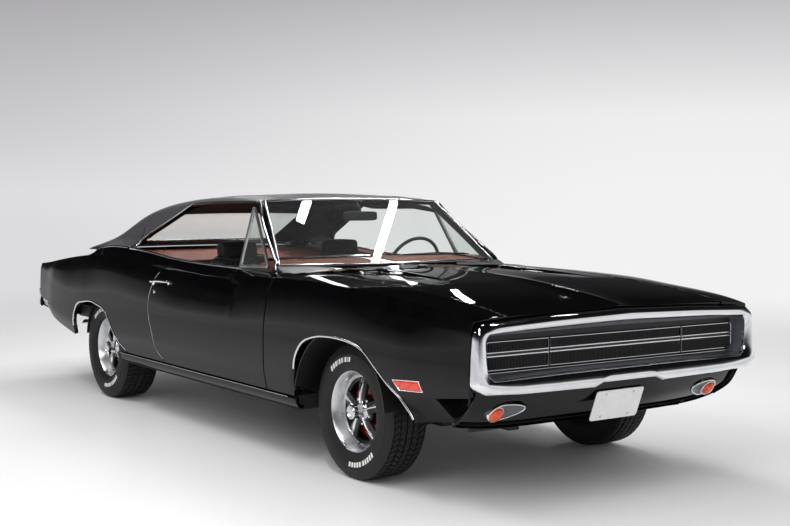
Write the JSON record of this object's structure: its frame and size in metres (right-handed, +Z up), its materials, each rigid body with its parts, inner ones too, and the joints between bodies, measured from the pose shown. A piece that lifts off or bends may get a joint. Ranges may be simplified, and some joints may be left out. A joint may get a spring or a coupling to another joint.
{
  "type": "two-door hardtop muscle car",
  "caption": "Full-size two-door hardtop coupe with a long hood, vinyl roof, wrap-round chrome bumper loop, hidden headlamps and spoked steel wheels; doors, lids, wheels and steering move.",
  "frame": {"origin": "on the ground below the middle of the overall length and width", "axes": "+X forward, +Y to the driver's left side, +Z up"},
  "size_m": [5.283, 1.948, 1.383],
  "materials": {
    "black_paint": "gloss black paint",
    "vinyl_roof": "grained black vinyl",
    "chrome": "bright chrome plate",
    "glass": "clear tinted glass",
    "tyre": "black tyre rubber",
    "wheel_steel": "silver painted steel with bright rim",
    "cast_iron": "bare cast iron",
    "engine_paint": "blue engine enamel",
    "chassis_black": "satin black chassis paint",
    "dark_grille": "dark grille plastic",
    "seat_vinyl": "black seat vinyl",
    "dash_vinyl": "brown dash vinyl",
    "shelf_board": "textured black board",
    "red_lens": "red lamp lens",
    "lamp_glass": "clear lamp glass",
    "plate_white": "blank white plate",
    "tan_vinyl": "tan vinyl",
    "steel": "bare steel",
    "column_plastic": "black moulded plastic"
  },
  "bodies": {
    "car_body": {"rear_quarter_right": "black_paint", "rear_quarter_left": "black_paint", "front_fender_right": "black_paint", "front_fender_left": "black_paint", "roof": "vinyl_roof", "windshield_frame": "black_paint", "windshield": "glass", "rear_window": "glass", "floor_pan": "chassis_black", "hinges": "steel", "rear_wheelhouses": "chassis_black", "cowl_firewall": "black_paint", "inner_fenders": "chassis_black", "front_subframe": "chassis_black", "radiator_support": "chassis_black", "rear_frame_rails": "chassis_black", "leaf_springs": "steel", "rear_axle": "cast_iron", "engine_block": "engine_paint", "transmission": "cast_iron", "driveshaft": "steel", "exhaust_pipes": "steel", "fuel_tank": "steel", "front_seat_right": "seat_vinyl", "front_seat_left": "seat_vinyl", "rear_seat": "seat_vinyl", "package_shelf": "shelf_board", "dashboard": "dash_vinyl", "steering_column": "column_plastic", "front_bumper": "chrome", "grille": "dark_grille", "headlamps": "lamp_glass", "front_valance": "black_paint", "licence_plate": "plate_white", "tail_panel": "black_paint", "tail_lamps": "red_lens", "rear_bumper": "chrome"},
    "door_right": {"door_right": "black_paint", "vent_window_right": "glass"},
    "door_left": {"door_left": "black_paint", "vent_window_left": "glass"},
    "hood": {"hood": "black_paint"},
    "deck_lid": {"deck_lid": "black_paint"},
    "wheel_front_right": {"tyre_front_right": "tyre", "rim_front_right": "wheel_steel"},
    "wheel_front_left": {"tyre_front_left": "tyre", "rim_front_left": "wheel_steel"},
    "wheel_rear_right": {"tyre_rear_right": "tyre", "rim_rear_right": "wheel_steel"},
    "wheel_rear_left": {"tyre_rear_left": "tyre", "rim_rear_left": "wheel_steel"},
    "knuckle_right": {"knuckle_right": "cast_iron"},
    "knuckle_left": {"knuckle_left": "cast_iron"},
    "steering_wheel": {"steering_wheel": "column_plastic"},
    "steering_link": {"steering_link": "steel"},
    "headlamp_door_right": {"headlamp_door_right": "dark_grille"},
    "headlamp_door_left": {"headlamp_door_left": "dark_grille"}
  },
  "joints": [
    {"name": "door_right_hinge", "type": "hinge", "parent": "car_body", "child": "door_right", "pos_m": [0.9435, -0.956, 0.64], "axis": [0, 0, 1], "range_deg": [0, 65]},
    {"name": "door_left_hinge", "type": "hinge", "parent": "car_body", "child": "door_left", "pos_m": [0.9435, 0.956, 0.64], "axis": [0, 0, -1], "range_deg": [0, 65]},
    {"name": "hood_hinge", "type": "hinge", "parent": "car_body", "child": "hood", "pos_m": [0.9395, 0, 0.958], "axis": [0, -1, 0], "range_deg": [0, 50]},
    {"name": "deck_lid_hinge", "type": "hinge", "parent": "car_body", "child": "deck_lid", "pos_m": [-1.6325, 0, 0.984], "axis": [0, 1, 0], "range_deg": [0, 55]},
    {"name": "steer_left", "type": "hinge", "parent": "car_body", "child": "knuckle_left", "pos_m": [1.6375, 0.69, 0.332], "axis": [0, 0, 1], "range_deg": [-33, 33]},
    {"name": "steer_right", "type": "hinge", "parent": "car_body", "child": "knuckle_right", "pos_m": [1.6375, -0.69, 0.332], "axis": [0, 0, 1], "range_deg": [-33, 33]},
    {"name": "front_left_spin", "type": "hinge", "parent": "knuckle_left", "child": "wheel_front_left", "pos_m": [1.6375, 0.758, 0.332], "axis": [0, 1, 0], "continuous": true},
    {"name": "front_right_spin", "type": "hinge", "parent": "knuckle_right", "child": "wheel_front_right", "pos_m": [1.6375, -0.758, 0.332], "axis": [0, 1, 0], "continuous": true},
    {"name": "rear_left_spin", "type": "hinge", "parent": "car_body", "child": "wheel_rear_left", "pos_m": [-1.3345, 0.752, 0.338], "axis": [0, 1, 0], "continuous": true},
    {"name": "rear_right_spin", "type": "hinge", "parent": "car_body", "child": "wheel_rear_right", "pos_m": [-1.3345, -0.752, 0.338], "axis": [0, 1, 0], "continuous": true},
    {"name": "steering_wheel_turn", "type": "hinge", "parent": "car_body", "child": "steering_wheel", "pos_m": [0.4325, 0.385, 0.935], "axis": [-0.9397, 0, 0.342], "range_deg": [-528, 528]},
    {"name": "steering_link_slide", "type": "slide", "parent": "car_body", "child": "steering_link", "axis": [0, -1, 0], "range_m": [-0.0817, 0.0817]},
    {"name": "headlamp_door_right_hinge", "type": "hinge", "parent": "car_body", "child": "headlamp_door_right", "pos_m": [2.4515, -0.612, 0.692], "axis": [0, -1, 0], "range_deg": [0, 88]},
    {"name": "headlamp_door_left_hinge", "type": "hinge", "parent": "car_body", "child": "headlamp_door_left", "pos_m": [2.4515, 0.612, 0.692], "axis": [0, -1, 0], "range_deg": [0, 88]}
  ],
  "couplings": [
    {"joint": "steer_right", "follows": "steer_left", "ratio": 1},
    {"joint": "steering_wheel_turn", "follows": "steer_left", "ratio": 16},
    {"joint": "steering_link_slide", "follows": "steer_left", "m_per_rad": 0.1417},
    {"joint": "headlamp_door_left_hinge", "follows": "headlamp_door_right_hinge", "ratio": 1}
  ]
}
